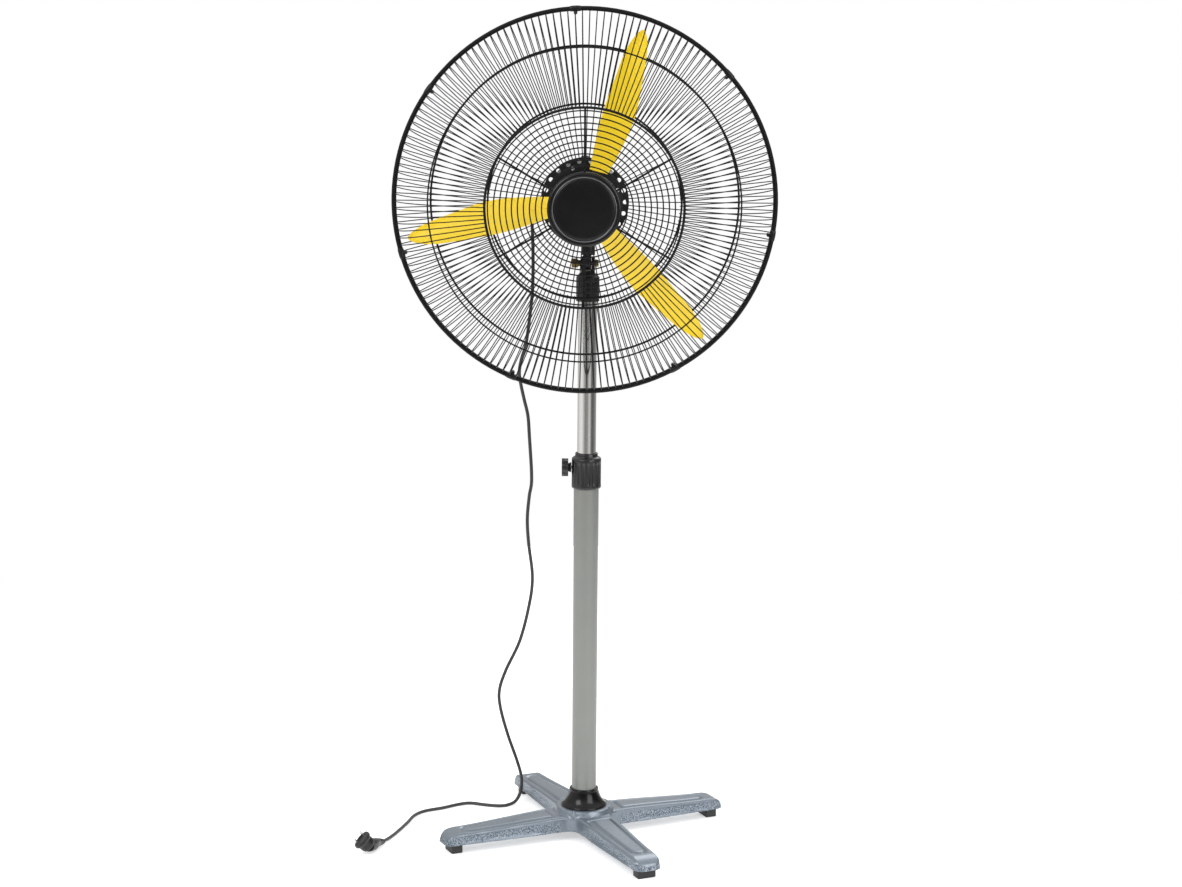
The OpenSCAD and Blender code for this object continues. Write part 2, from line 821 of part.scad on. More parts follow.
base();
foot_pads();
base_nut();
cone_cover();
outer_tube();
collar();
collar_bush();
height_screw();
height_knob();
inner_tube();
tube_socket();
socket_screws();
tilt_neck();
tilt_bolt();
tilt_nut();
tilt_knob();
saddle();
motor_front_bell();
motor_rear_bell();
stator_core();
stator_coils();
front_bearing();
rear_bearing();
motor_screws();
guard_plate();
plate_screws();
rear_rim();
rear_rings();
rear_wires();
front_rim();
front_middle_ring();
front_panel_ring();
front_wires();
front_panel_rings();
front_ribs();
guard_cap();
cap_ring();
guard_clips();
clip_screws();
gearbox();
gear_cover();
cover_screws();
swing_knob();
speed_knob();
cord_gland();
shaft();
rotor_core();
blade_hub();
hub_nut();
blade(0);  // blade_1
blade(1);  // blade_2
blade(2);  // blade_3
blade_rivets();
cord_head();
cord_neck();
cord_fall();
plug_relief();
plug_body();
plug_pins();
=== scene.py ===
"""Looks of the pedestal fan: camera, cord, guard wires, blades, cast base, materials and studio."""
import json
import math

import bmesh
import bpy
from mathutils import Matrix, Vector


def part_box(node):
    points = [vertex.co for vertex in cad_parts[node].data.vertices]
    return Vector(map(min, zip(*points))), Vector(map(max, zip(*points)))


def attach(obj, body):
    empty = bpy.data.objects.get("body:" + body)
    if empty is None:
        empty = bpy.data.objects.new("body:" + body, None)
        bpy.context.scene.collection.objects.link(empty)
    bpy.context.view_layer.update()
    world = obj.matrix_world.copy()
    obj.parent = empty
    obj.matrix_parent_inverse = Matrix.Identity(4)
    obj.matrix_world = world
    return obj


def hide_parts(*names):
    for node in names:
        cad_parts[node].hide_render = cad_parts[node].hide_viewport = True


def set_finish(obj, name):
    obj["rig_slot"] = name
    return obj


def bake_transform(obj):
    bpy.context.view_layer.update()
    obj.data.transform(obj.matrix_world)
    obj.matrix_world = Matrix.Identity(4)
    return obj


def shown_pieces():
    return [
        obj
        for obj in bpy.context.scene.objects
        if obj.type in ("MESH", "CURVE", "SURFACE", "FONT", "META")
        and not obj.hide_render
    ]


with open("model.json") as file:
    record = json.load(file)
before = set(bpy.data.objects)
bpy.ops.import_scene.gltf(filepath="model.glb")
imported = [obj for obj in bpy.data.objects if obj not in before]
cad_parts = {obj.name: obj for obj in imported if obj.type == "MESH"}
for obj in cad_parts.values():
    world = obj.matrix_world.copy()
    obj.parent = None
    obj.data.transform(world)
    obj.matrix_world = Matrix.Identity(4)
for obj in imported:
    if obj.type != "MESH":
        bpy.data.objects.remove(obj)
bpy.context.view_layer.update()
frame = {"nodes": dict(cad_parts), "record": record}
nodes = frame["nodes"]
SLOTS = {s["node"]: s["material_slot"] for s in frame["record"]["subparts"]}

# the lengths below are in millimetres, and become metres where points are made
MM = 0.001

# ---- camera ----

# place in metres, angles in degrees, sensor and lens in millimetres
CAMERA_AT = (0.009, -4.9055, 1.686)
CAMERA_DOWN = 9.95
CAMERA_ROLL = 0.47
SENSOR = 36.0
LENS = 74.6


def add_camera():
    data = bpy.data.cameras.new("camera")
    data.sensor_width = SENSOR
    data.lens = LENS
    camera = bpy.data.objects.new("camera", data)
    bpy.context.scene.collection.objects.link(camera)
    look = Matrix.Rotation(math.radians(90 - CAMERA_DOWN), 4, "X")
    roll = Matrix.Rotation(math.radians(CAMERA_ROLL), 4, "Z")
    camera.matrix_world = Matrix.Translation(CAMERA_AT) @ look @ roll
    bpy.context.scene.camera = camera


# ---- mesh helpers ----

def new_object(name, points, faces, crease=40):
    """A smooth-shaded mesh object whose edges stay sharp above the crease angle, in degrees."""
    mesh = bpy.data.meshes.new(name)
    mesh.from_pydata([tuple(p) for p in points], [], faces)
    mesh.validate()
    mesh.update()
    mesh.polygons.foreach_set("use_smooth", [True] * len(mesh.polygons))
    mesh.set_sharp_from_angle(angle=math.radians(crease))
    obj = bpy.data.objects.new(name, mesh)
    bpy.context.scene.collection.objects.link(obj)
    return obj


def curve_through(points, steps):
    """Points on a smooth curve through the given ones, with this many steps between two."""
    pts = [Vector(p) for p in points]
    last = len(pts) - 1
    out = []
    for i in range(last):
        a, b = pts[max(i - 1, 0)], pts[i]
        c, d = pts[i + 1], pts[min(i + 2, last)]
        for s in range(steps):
            t = s / steps
            out.append(0.5 * (2 * b + (c - a) * t + (2 * a - 5 * b + 4 * c - d) * t * t
                              + (3 * b - a - 3 * c + d) * t ** 3))
    out.append(pts[last])
    return out


def tube(path, radius, sides):
    """Points and faces of a round tube along a path, its frame carried without twist."""
    path = [Vector(p) for p in path]
    last = len(path) - 1
    points = []
    normal = None
    for i, p in enumerate(path):
        along = (path[min(i + 1, last)] - path[max(i - 1, 0)]).normalized()
        if normal is None:
            normal = along.orthogonal()
        normal = (normal - along * normal.dot(along)).normalized()
        side = along.cross(normal)
        r = radius(i / last) if callable(radius) else radius
        for k in range(sides):
            a = 2 * math.pi * k / sides
            points.append(p + (normal * math.cos(a) + side * math.sin(a)) * r)
    faces = bands(last, sides)
    faces.append(tuple(reversed(range(sides))))
    faces.append(tuple(last * sides + k for k in range(sides)))
    return points, faces


def bands(rows, per):
    """Faces between rows of points that each go once round a shape."""
    return [(i * per + j, i * per + (j + 1) % per, (i + 1) * per + (j + 1) % per, (i + 1) * per + j)
            for i in range(rows) for j in range(per)]


def joined(parts):
    """One list of points and one of faces out of several."""
    points, faces = [], []
    for some, these in parts:
        start = len(points)
        points.extend(some)
        faces.extend(tuple(start + i for i in f) for f in these)
    return points, faces


def lathe(profile, steps=96, swell=None):
    """A closed turned shape about +Z from (radius, height) points, first and last capped.

    swell(angle, radius, height) gives the radius where the shape isn't round.
    """
    points = []
    for radius, height in profile:
        for k in range(steps):
            a = 2 * math.pi * k / steps
            r = swell(a, radius, height) if swell else radius
            points.append(Vector((r * math.cos(a), r * math.sin(a), height)))
    faces = bands(len(profile) - 1, steps)
    faces.append(tuple(reversed(range(steps))))
    faces.append(tuple((len(profile) - 1) * steps + k for k in range(steps)))
    return points, faces


def sleeve(profile, steps=96, swell=None):
    """A turned ring about +Z: the profile closes on itself and leaves a hole."""
    points, faces = lathe(profile, steps, swell)
    faces = faces[:-2]
    last = (len(profile) - 1) * steps
    for k in range(steps):
        j = (k + 1) % steps
        faces.append((last + k, last + j, j, k))
    return points, faces


def placed(part, matrix, scale=MM):
    """A part's points moved into the shared frame; the part is in millimetres."""
    points, faces = part
    return [matrix @ (Vector(p) * scale) for p in points], faces


def along_axis(direction, origin):
    """Matrix that turns +Z to a direction and moves to an origin in metres."""
    turn = Vector(direction).to_track_quat("Z", "Y").to_matrix().to_4x4()
    return Matrix.Translation(origin) @ turn


def stand_for(piece, slot, body, *replaced):
    """The piece replaces CAD nodes, takes a slot's finish and rides on a body."""
    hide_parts(*replaced)
    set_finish(piece, slot)
    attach(piece, body)


def weld(obj, distance):
    """Merge points that meet, and turn all faces outward."""
    mesh = bmesh.new()
    mesh.from_mesh(obj.data)
    bmesh.ops.remove_doubles(mesh, verts=mesh.verts, dist=distance)
    bmesh.ops.dissolve_degenerate(mesh, edges=mesh.edges, dist=1e-6)
    bmesh.ops.recalc_face_normals(mesh, faces=mesh.faces)
    mesh.to_mesh(obj.data)
    mesh.free()


# ---- cord: the route's points as the CAD has them ----

CORD_D = 7 * MM
ROUTE_HEAD = [
    (-84, 96, 1316), (-97, 96, 1314), (-107, 97, 1307), (-114, 98, 1297), (-116, 100, 1285),
    (-115, 104, 1258), (-113, 110, 1195), (-114, 113, 1125), (-120, 117, 1065), (-127, 121, 1010),
]
ROUTE_NECK = [
    (-127, 121, 1010), (-137, 124, 978), (-141, 127, 950), (-137, 131, 922), (-130, 134, 890),
]
ROUTE_FALL = [
    (-130, 134, 890), (-123, 138, 858), (-120, 142, 815), (-115, 148, 724), (-120, 152, 685),
    (-124, 155, 635), (-121, 158, 581), (-113, 164, 510), (-119, 169, 450), (-139, 172, 368),
    (-169, 176, 301), (-183, 179, 256), (-181, 183, 215), (-165, 186, 154), (-146, 191, 97),
    (-136, 194, 58), (-137, 190, 28), (-147, 178, 9), (-163, 165, 4), (-182, 157, 4),
    (-212, 163, 4), (-245, 174, 4), (-270, 165, 4), (-303, 140, 4), (-340, 118, 4),
    (-360, 88, 4), (-372, 38, 4), (-390, -25, 4), (-402, -62, 5), (-413, -91, 7.5),
]


def add_cord(name, route, node):
    """A length of the cord: a round tube through the route, which stands for a CAD node."""
    whole = curve_through([Vector(p) * MM for p in route], 6)
    cord = new_object(name, *tube(whole, CORD_D / 2, 16))
    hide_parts(node)
    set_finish(cord, "cord_rubber")
    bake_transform(cord)
    return cord


def add_cords():
    head = add_cord("cord_upper", ROUTE_HEAD, "cord_head")
    neck = add_cord("cord_middle", ROUTE_NECK, "cord_neck")
    plug = [add_plug(), soften("plug_pins", 0.9)]
    fall = add_cord("cord_lower", ROUTE_FALL, "cord_fall")
    for cord in (head, neck, fall):
        paint(cord, cord_rubber())


PLUG_AT = Vector((-442, -146, 24))
PLUG_TURN = 196
PLUG_LEAN = 43
PLUG_PROFILE = [
    (0.5, -12.4), (6, -12.6), (10, -13), (12.4, -12.6), (14.4, -10.8), (15.8, -7.6), (16.4, -3.6),
    (16.5, 0), (16.6, 2.6), (17.2, 4.4), (19, 6), (20, 7.8), (20, 10.8), (19.4, 12.3), (18.2, 13),
    (15.6, 13), (14.9, 12.2), (14.6, 10.6), (13.8, 10), (0.5, 10),
]
RELIEF_RIBS = 5


def add_plug():
    """The moulded angled plug: a recessed round face, a waisted back and a ribbed taper to the cord."""
    turn, lean = math.radians(PLUG_TURN), math.radians(PLUG_LEAN)
    face = Vector((math.cos(lean) * math.cos(turn), math.cos(lean) * math.sin(turn), math.sin(lean)))
    body = placed(lathe(PLUG_PROFILE, 64), along_axis(face, PLUG_AT * MM))
    end = Vector(ROUTE_FALL[-1])
    run = (end - Vector(ROUTE_FALL[-2])).normalized()
    way = end - PLUG_AT
    stem = [PLUG_AT - face * 8, PLUG_AT + way * 0.3 - face * 6, PLUG_AT + way * 0.66 - face * 1.5,
            end, end - run * 5]
    stem = curve_through([p * MM for p in stem], 12)

    def width(t):
        taper = 13.5 - 9.2 * smooth_step(t, 0.1, 0.95)
        rib = 0.5 * math.cos(2 * math.pi * RELIEF_RIBS * (t - 0.5) / 0.4) if 0.5 < t < 0.9 else 0
        return (taper + rib) * MM

    plug = new_object("plug_moulding", *joined([body, tube(stem, width, 32)]))
    stand_for(plug, "plug_plastic", "stand", "plug_body", "plug_relief")
    return plug


def smooth_step(x, low, high):
    t = min(1.0, max(0.0, (x - low) / (high - low)))
    return t * t * (3 - 2 * t)


# ---- hardware: CAD shapes with broken edges ----

def soften(node, width, sharper_than=38):
    """A copy of a CAD node with its edges rounded, which stands for it."""
    piece = bpy.data.objects.new(f"{node}_shape", nodes[node].data.copy())
    bpy.context.scene.collection.objects.link(piece)
    weld(piece, 1e-6)
    piece.data.polygons.foreach_set("use_smooth", [True] * len(piece.data.polygons))
    edge = piece.modifiers.new("edge", "BEVEL")
    edge.width = width * MM
    edge.segments = 3
    edge.limit_method = "ANGLE"
    edge.angle_limit = math.radians(sharper_than)
    edge.use_clamp_overlap = True
    edge.harden_normals = True
    stand_for(piece, SLOTS[node], body_of(node), node)
    return piece


def body_of(node):
    """Name of the body that a CAD node rides on."""
    for body, names in frame["record"]["behaviour"]["bodies"].items():
        if node in names:
            return body
    raise KeyError(node)


# how wide each node's edges are rounded
SOFT_EDGES = {
    "foot_pads": 2.5, "base_nut": 0.6, "height_knob": 1.4, "tube_socket": 1.6, "tilt_neck": 1.4,
    "tilt_bolt": 0.5, "tilt_nut": 0.6, "tilt_knob": 1.0, "saddle": 2.5, "motor_front_bell": 1.4,
    "motor_rear_bell": 1.2, "gearbox": 1.6, "gear_cover": 1.2, "swing_knob": 0.9, "speed_knob": 1.0,
    "cord_gland": 0.7, "blade_hub": 1.0, "hub_nut": 0.6, "guard_plate": 0.5, "blade_rivets": 0.9,
}


def add_softened():
    for node, width in SOFT_EDGES.items():
        soften(node, width)


def loose_parts(node):
    """Centre and half-size of each separate solid in a CAD node, in the order of their places."""
    mesh = bmesh.new()
    mesh.from_mesh(nodes[node].data)
    bmesh.ops.remove_doubles(mesh, verts=mesh.verts, dist=1e-6)
    left = set(mesh.verts)
    parts = []
    while left:
        start = left.pop()
        found, edge = [start], [start]
        while edge:
            near = [e.other_vert(v) for v in edge for e in v.link_edges]
            edge = [v for v in set(near) if v in left]
            left.difference_update(edge)
            found.extend(edge)
        low = Vector(min(v.co[i] for v in found) for i in range(3))
        high = Vector(max(v.co[i] for v in found) for i in range(3))
        parts.append(((low + high) / 2, (high - low) / 2))
    mesh.free()
    return sorted(parts, key=lambda part: part[0][:])


def screw_head(radius, height):
    """A pan head with a cross recess, standing on its seat at height 0."""
    rows = [(1, 0), (1, 0.45), (0.96, 0.66), (0.86, 0.82), (0.7, 0.93), (0.58, 0.97), (0.5, 0.98),
            (0.4, 0.99), (0.3, 1), (0.2, 1), (0.1, 1), (0.02, 1)]
    points, faces = lathe([(radius * r, height * h) for r, h in rows], 64)
    for p in points:
        r = math.hypot(p.x, p.y)
        arm = min(abs(p.x), abs(p.y))
        if r < 0.56 * radius and arm < 0.13 * radius and p.z > height * 0.5:
            p.z -= 0.45 * height * (1 - smooth_step(r, 0.35 * radius, 0.56 * radius))
    return points, faces


def add_screws(node, facing):
    """Cross-recess heads where the CAD has plain ones, facing along an axis."""
    axis = Vector(facing)
    heads = []
    for centre, half in loose_parts(node):
        deep = abs(half.dot(axis))
        radius = max(h for h, a in zip(half, axis) if abs(a) < 0.5)
        seat = centre - axis * deep
        heads.append(placed(screw_head(radius / MM, 2 * deep / MM), along_axis(axis, seat)))
    piece = new_object(f"{node}_heads", *joined(heads), crease=50)
    stand_for(piece, SLOTS[node], body_of(node), node)


# the way that each node's screw heads face
SCREWS = {
    "plate_screws": (0, -1, 0), "motor_screws": (0, 1, 0), "cover_screws": (0, 1, 0),
    "socket_screws": (0, -1, 0),
}


BEARING_PROFILE = [
    (7.15, 0.3), (7.4, 0), (9.5, 0), (9.7, 0.5), (15, 0.5), (15.3, 0), (17.2, 0), (17.5, 0.3),
    (17.5, 6.7), (17.2, 7), (15.3, 7), (15, 6.5), (9.7, 6.5), (9.5, 7), (7.4, 7), (7.15, 6.7),
]


def add_bearings():
    """Sealed ball bearings: inner and outer races with sunken shields between them."""
    x, z = head_axis()
    for node in ("front_bearing", "rear_bearing"):
        where = along_axis((0, 1, 0), (x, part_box(node)[0][1], z))
        ring = new_object(f"{node}_races", *placed(sleeve(BEARING_PROFILE), where))
        weld(ring, 1e-7)
        stand_for(ring, SLOTS[node], body_of(node), node)


# ---- pole: base sleeve and clamp collar ----

CONE_PROFILE = [
    (25.6, 0), (46.9, 0), (47.5, 0.7), (47.5, 2), (46.6, 3.4), (43.6, 6), (40, 10), (36.8, 15),
    (34.2, 20.5), (32.2, 26.5), (30.8, 31), (30.3, 33.2), (30.3, 35.4), (29.6, 36.6), (28.4, 37),
    (25.6, 37),
]
COLLAR_PROFILE = [
    (25.6, 0), (28.2, 0), (29.4, 0.8), (29.9, 2.2), (30, 4), (30, 7), (30, 9), (30, 12), (30, 30),
    (30, 48), (30, 52), (30, 54), (30, 57), (29.9, 60), (29.3, 61.8), (27.4, 63.6), (24.8, 65),
    (23.4, 65.8), (23, 67), (23, 71), (22.4, 72.5), (21.4, 73), (20.3, 73), (20.3, 40), (25.6, 33),
]
FLUTES = 18
FLUTE_DEEP = 1.5


def flute(angle, radius, height):
    """Shallow grooves down the collar's grip."""
    deep = FLUTE_DEEP * smooth_step(height, 7, 12) * (1 - smooth_step(height, 50, 55))
    if radius < 29:
        return radius
    return radius - deep * (0.5 + 0.5 * math.cos(FLUTES * angle)) ** 1.6


def add_pole_fittings():
    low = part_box("cone_cover")[0]
    cone = new_object("cone_sleeve", *placed(sleeve(CONE_PROFILE, 128), Matrix.Translation((0, 0, low[2]))))
    weld(cone, 1e-7)
    stand_for(cone, "gloss_black", "stand", "cone_cover")
    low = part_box("collar")[0]
    grip = sleeve(COLLAR_PROFILE, 288, flute)
    collar = new_object("collar_grip", *placed(grip, Matrix.Translation((0, 0, low[2]))), crease=60)
    weld(collar, 1e-7)
    stand_for(collar, "black_plastic", "stand", "collar")


# ---- materials ----

def new_material(name, color, roughness, metallic=0.0):
    """A material and its shader, ready for detail."""
    material = bpy.data.materials.new(name)
    material.use_nodes = True
    shader = material.node_tree.nodes["Principled BSDF"]
    shader.inputs["Base Color"].default_value = (*color, 1)
    shader.inputs["Roughness"].default_value = roughness
    shader.inputs["Metallic"].default_value = metallic
    return material, shader


def texture(material, kind, scale, **settings):
    """A noise or voronoi texture in object coordinates."""
    tree = material.node_tree
    where = tree.nodes.new("ShaderNodeTexCoord")
    node = tree.nodes.new(kind)
    node.inputs["Scale"].default_value = scale
    for key, value in settings.items():
        node.inputs[key].default_value = value
    tree.links.new(where.outputs["Object"], node.inputs["Vector"])
    return node


def vary_color(material, shader, source, low, high, start=0.35, stop=0.65):
    """The shader's colour runs from low to high as the texture does."""
    tree = material.node_tree
    ramp = tree.nodes.new("ShaderNodeValToRGB")
    ramp.color_ramp.elements[0].position = start
    ramp.color_ramp.elements[1].position = stop
    ramp.color_ramp.elements[0].color = (*low, 1)
    ramp.color_ramp.elements[1].color = (*high, 1)
    tree.links.new(source.outputs[0], ramp.inputs["Fac"])
    tree.links.new(ramp.outputs["Color"], shader.inputs["Base Color"])


def vary_roughness(material, shader, source, low, high):
    tree = material.node_tree
    spread = tree.nodes.new("ShaderNodeMapRange")
    spread.inputs["To Min"].default_value = low
    spread.inputs["To Max"].default_value = high
    tree.links.new(source.outputs[0], spread.inputs["Value"])
    tree.links.new(spread.outputs["Result"], shader.inputs["Roughness"])


def bump(material, shader, source, strength, depth):
    """Fine relief from the texture, its depth in metres."""
    tree = material.node_tree
    node = tree.nodes.new("ShaderNodeBump")
    node.inputs["Strength"].default_value = strength
    node.inputs["Distance"].default_value = depth
    tree.links.new(source.outputs[0], node.inputs["Height"])
    tree.links.new(node.outputs["Normal"], shader.inputs["Normal"])


def enamel(name, color, roughness, shift=0.85, coat=0.0, metallic=0.0, grain=220, depth=0.00006,
           shine=0.5):
    """Sprayed paint: slow colour drift, orange peel and uneven gloss."""
    material, shader = new_material(name, color, roughness, metallic)
    drift = texture(material, "ShaderNodeTexNoise", 14, Detail=4)
    vary_color(material, shader, drift, [c * shift for c in color], color)
    peel = texture(material, "ShaderNodeTexNoise", grain, Detail=3)
    vary_roughness(material, shader, peel, roughness * 0.85, roughness * 1.2)
    bump(material, shader, peel, 0.35, depth)
    shader.inputs["Coat Weight"].default_value = coat
    shader.inputs["Specular IOR Level"].default_value = shine
    return material


def metal(name, color, roughness, stretch=(1, 1, 12), grain=260, depth=0.00002, contrast=0.14):
    """Drawn or turned metal, with fine lines across the stretched direction."""
    material, shader = new_material(name, color, roughness, 1.0)
    lines = texture(material, "ShaderNodeTexNoise", grain, Detail=4)
    tree = material.node_tree
    where = lines.inputs["Vector"].links[0].from_socket
    mapping = tree.nodes.new("ShaderNodeMapping")
    mapping.inputs["Scale"].default_value = stretch
    tree.links.new(where, mapping.inputs["Vector"])
    tree.links.new(mapping.outputs["Vector"], lines.inputs["Vector"])
    vary_color(material, shader, lines, [c * (1 - contrast) for c in color], color)
    vary_roughness(material, shader, lines, roughness * (1 - 2 * contrast), roughness * (1 + 3 * contrast))
    bump(material, shader, lines, 2 * contrast, depth)
    return material


def moulded(name, color, roughness, grain=900, depth=0.00005, shine=0.5):
    """Moulded plastic or rubber with a fine grain."""
    material, shader = new_material(name, color, roughness)
    skin = texture(material, "ShaderNodeTexNoise", grain, Detail=2)
    dust = texture(material, "ShaderNodeTexNoise", 22, Detail=5)
    vary_color(material, shader, dust, color, [c * 1.35 + 0.001 for c in color])
    vary_roughness(material, shader, dust, roughness * 0.9, roughness * 1.15)
    bump(material, shader, skin, 0.4, depth)
    shader.inputs["Specular IOR Level"].default_value = shine
    return material


def hammertone(name, strength):
    """Hammer-finish enamel: small dimples with darker hollows; strength from 0 to 1."""
    mid = (0.155, 0.186, 0.222)
    material, shader = new_material(name, mid, 0.34, 0.5)
    dimples = texture(material, "ShaderNodeTexNoise", 430, Detail=1.5)
    spread = 0.11 * strength + 0.01
    low = [c - spread for c in mid]
    high = [c + spread for c in mid]
    vary_color(material, shader, dimples, low, high, 0.38, 0.62)
    vary_roughness(material, shader, dimples, 0.28 + 0.1 * strength, 0.4 + 0.1 * strength)
    bump(material, shader, dimples, 0.12 + 0.5 * strength, 0.0005)
    shader.inputs["Coat Weight"].default_value = 0.5 - 0.3 * strength
    shader.inputs["Coat Roughness"].default_value = 0.15
    return material


def cord_rubber():
    return moulded("cord_sheath", (0.014, 0.014, 0.015), 0.42, grain=1400, depth=0.00003)


def paint(obj, material):
    obj.data.materials.clear()
    obj.data.materials.append(material)


def material_table():
    """One material for each of the record's slots."""
    ink = (0.006, 0.006, 0.007)
    return {
        "foot_rubber": moulded("foot_rubber", (0.01, 0.01, 0.011), 0.55),
        "zinc_steel": metal("zinc_steel", (0.55, 0.56, 0.57), 0.32),
        "gold_zinc": metal("gold_zinc", (0.17, 0.125, 0.05), 0.42),
        "gloss_black": enamel("gloss_black", (0.002, 0.002, 0.0025), 0.2, coat=0.1, grain=60, shine=0.25),
        "satin_tube": enamel("satin_tube", (0.21, 0.217, 0.205), 0.34, 0.95, metallic=0.4, grain=700),
        "black_plastic": moulded("black_plastic", (0.008, 0.008, 0.009), 0.28),
        "nylon": moulded("nylon", (0.7, 0.69, 0.65), 0.45),
        "chrome_tube": metal("chrome_tube", (0.78, 0.785, 0.775), 0.1, (1, 1, 0.2), 500, 0.00001, 0.03),
        "black_casting": enamel("black_casting", ink, 0.4, 0.7, grain=420, depth=0.0001, shine=0.35),
        "core_steel": metal("core_steel", (0.4, 0.41, 0.43), 0.45, (1, 30, 1)),
        "coil_copper": metal("coil_copper", (0.6, 0.26, 0.11), 0.35, (30, 1, 30)),
        "black_wire": enamel("black_wire", ink, 0.55, 0.8, grain=900, shine=0.15),
        "cap_plastic": moulded("cap_plastic", (0.003, 0.003, 0.0035), 0.24, grain=700, shine=0.3),
        "cap_bright": metal("cap_bright", (0.16, 0.16, 0.165), 0.35),
        "black_clip": enamel("black_clip", ink, 0.36, 0.8, grain=600, shine=0.3),
        "bright_steel": metal("bright_steel", (0.6, 0.6, 0.61), 0.25),
        "blade_yellow": enamel("blade_yellow", (0.98, 0.69, 0.015), 0.34, 0.97, coat=0.1, grain=160),
        "cord_rubber": cord_rubber(),
        "plug_plastic": moulded("plug_rubber", (0.005, 0.005, 0.006), 0.36, shine=0.4),
        "pin_metal": metal("pin_metal", (0.75, 0.74, 0.7), 0.25),
    }


# ---- guard wires ----

WIRES = 162
WIRE_R = 1.05 * MM
WIRE_LAP = 3 * MM
DOME_INSET = 3 * MM
DOME_CUTS = 16


def middle(node):
    """Middle of a CAD node's box."""
    low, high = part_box(node)
    return [(a + b) / 2 for a, b in zip(low, high)]


def head_axis():
    """The blade axis as (x, z)."""
    x, _, z = middle("front_rim")
    return x, z


def radial(points, turn):
    """Points given as (radius, y) placed round the blade axis at an angle."""
    x, z = head_axis()
    return [Vector((x + r * math.cos(turn), y, z + r * math.sin(turn))) for r, y in points]


def wires_round(profiles, radius):
    """Wires all round the axis, which take the (radius, y) profiles in turn."""
    parts = []
    for k in range(WIRES):
        turn = 2 * math.pi * k / WIRES
        profile = profiles[k % len(profiles)]
        parts.append(tube(radial(profile, turn), radius, 6))
    return joined(parts)


def ring_size(node):
    """Radius to the middle of a ring's wire, the wire's place along the axis, and its thickness."""
    low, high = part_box(node)
    wire = high[1] - low[1]
    return (high[0] - low[0]) / 2 - wire / 2, (low[1] + high[1]) / 2, wire


def guard_sizes():
    """Radii and places of the guard's rings; the two halves meet in a plane behind the front rim."""
    rim_r, front_y, wire = ring_size("front_rim")
    panel_r, panel_y, _ = ring_size("front_panel_ring")
    low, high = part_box("guard_plate")
    return {"front_y": front_y, "wire": wire, "rim_r": rim_r, "plane": front_y + wire / 2,
            "panel_r": panel_r, "panel_y": panel_y, "plate_r": (high[0] - low[0]) / 2}


def add_front_wires(sizes):
    """Wires from the rim over the elliptic dome to the panel's ring."""
    rim_r = sizes["rim_r"] - DOME_INSET
    share = sizes["panel_r"] / rim_r
    depth = (sizes["plane"] - sizes["panel_y"]) / math.sqrt(1 - share * share)
    first = math.asin((sizes["wire"] + 4 * MM) / depth)
    last = math.acos((sizes["panel_r"] + 2.5 * MM) / rim_r)
    turns = [first + (last - first) * k / DOME_CUTS for k in range(DOME_CUTS + 1)]
    on_rim = (sizes["rim_r"] - 2 * MM, sizes["front_y"] - 1.5 * MM)
    dome = [(rim_r * math.cos(t), sizes["plane"] - depth * math.sin(t)) for t in turns]
    wires = new_object("guard_front_wires", *wires_round([[on_rim] + dome], WIRE_R))
    stand_for(wires, "black_wire", "head", "front_wires")


def add_rear_wires(sizes):
    """Every second wire stops at the ring round the middle, as there is no room for all."""
    y = middle("rear_wires")[1]
    outer = [(sizes["rim_r"], y), (sizes["rim_r"] + 1.5 * MM, y)]
    long_wire = [(sizes["plate_r"] - WIRE_LAP, y)] + outer
    short_wire = [(sizes["panel_r"] - WIRE_LAP, y)] + outer
    wires = new_object("guard_rear_wires", *wires_round([long_wire, short_wire], WIRE_R))
    stand_for(wires, "black_wire", "head", "rear_wires")


CLIPS = 7
FIRST_CLIP = -9.64
CLIP_LONG = 21
CLIP_T = 1.2
CLIP_CUTS = 6
EAR_LONG = 8


def strap_section(half_wide, half_deep):
    """Outline of the folded strap, all but round at its inner and outer ends."""
    corner = half_wide - 0.3
    outline = []
    for cx, cy, first in ((1, 1, 0), (-1, 1, 90), (-1, -1, 180), (1, -1, 270)):
        for step in range(7):
            a = math.radians(first + 15 * step)
            outline.append((cx * (half_wide - corner) + corner * math.cos(a),
                            cy * (half_deep - corner) + corner * math.sin(a)))
    return outline


def strap(section, rim_r):
    """A strap bent along the rim, pinched a little at both ends."""
    points = []
    for i in range(CLIP_CUTS + 1):
        a = (i / CLIP_CUTS - 0.5) * CLIP_LONG / rim_r
        pinch = 1 - 0.12 * (abs(i / CLIP_CUTS - 0.5) * 2) ** 4
        for u, v in section:
            r = rim_r + u * pinch
            points.append((r * math.cos(a), v * pinch, r * math.sin(a)))
    per = len(section)
    faces = bands(CLIP_CUTS, per)
    faces.append(tuple(reversed(range(per))))
    faces.append(tuple(CLIP_CUTS * per + j for j in range(per)))
    return points, faces


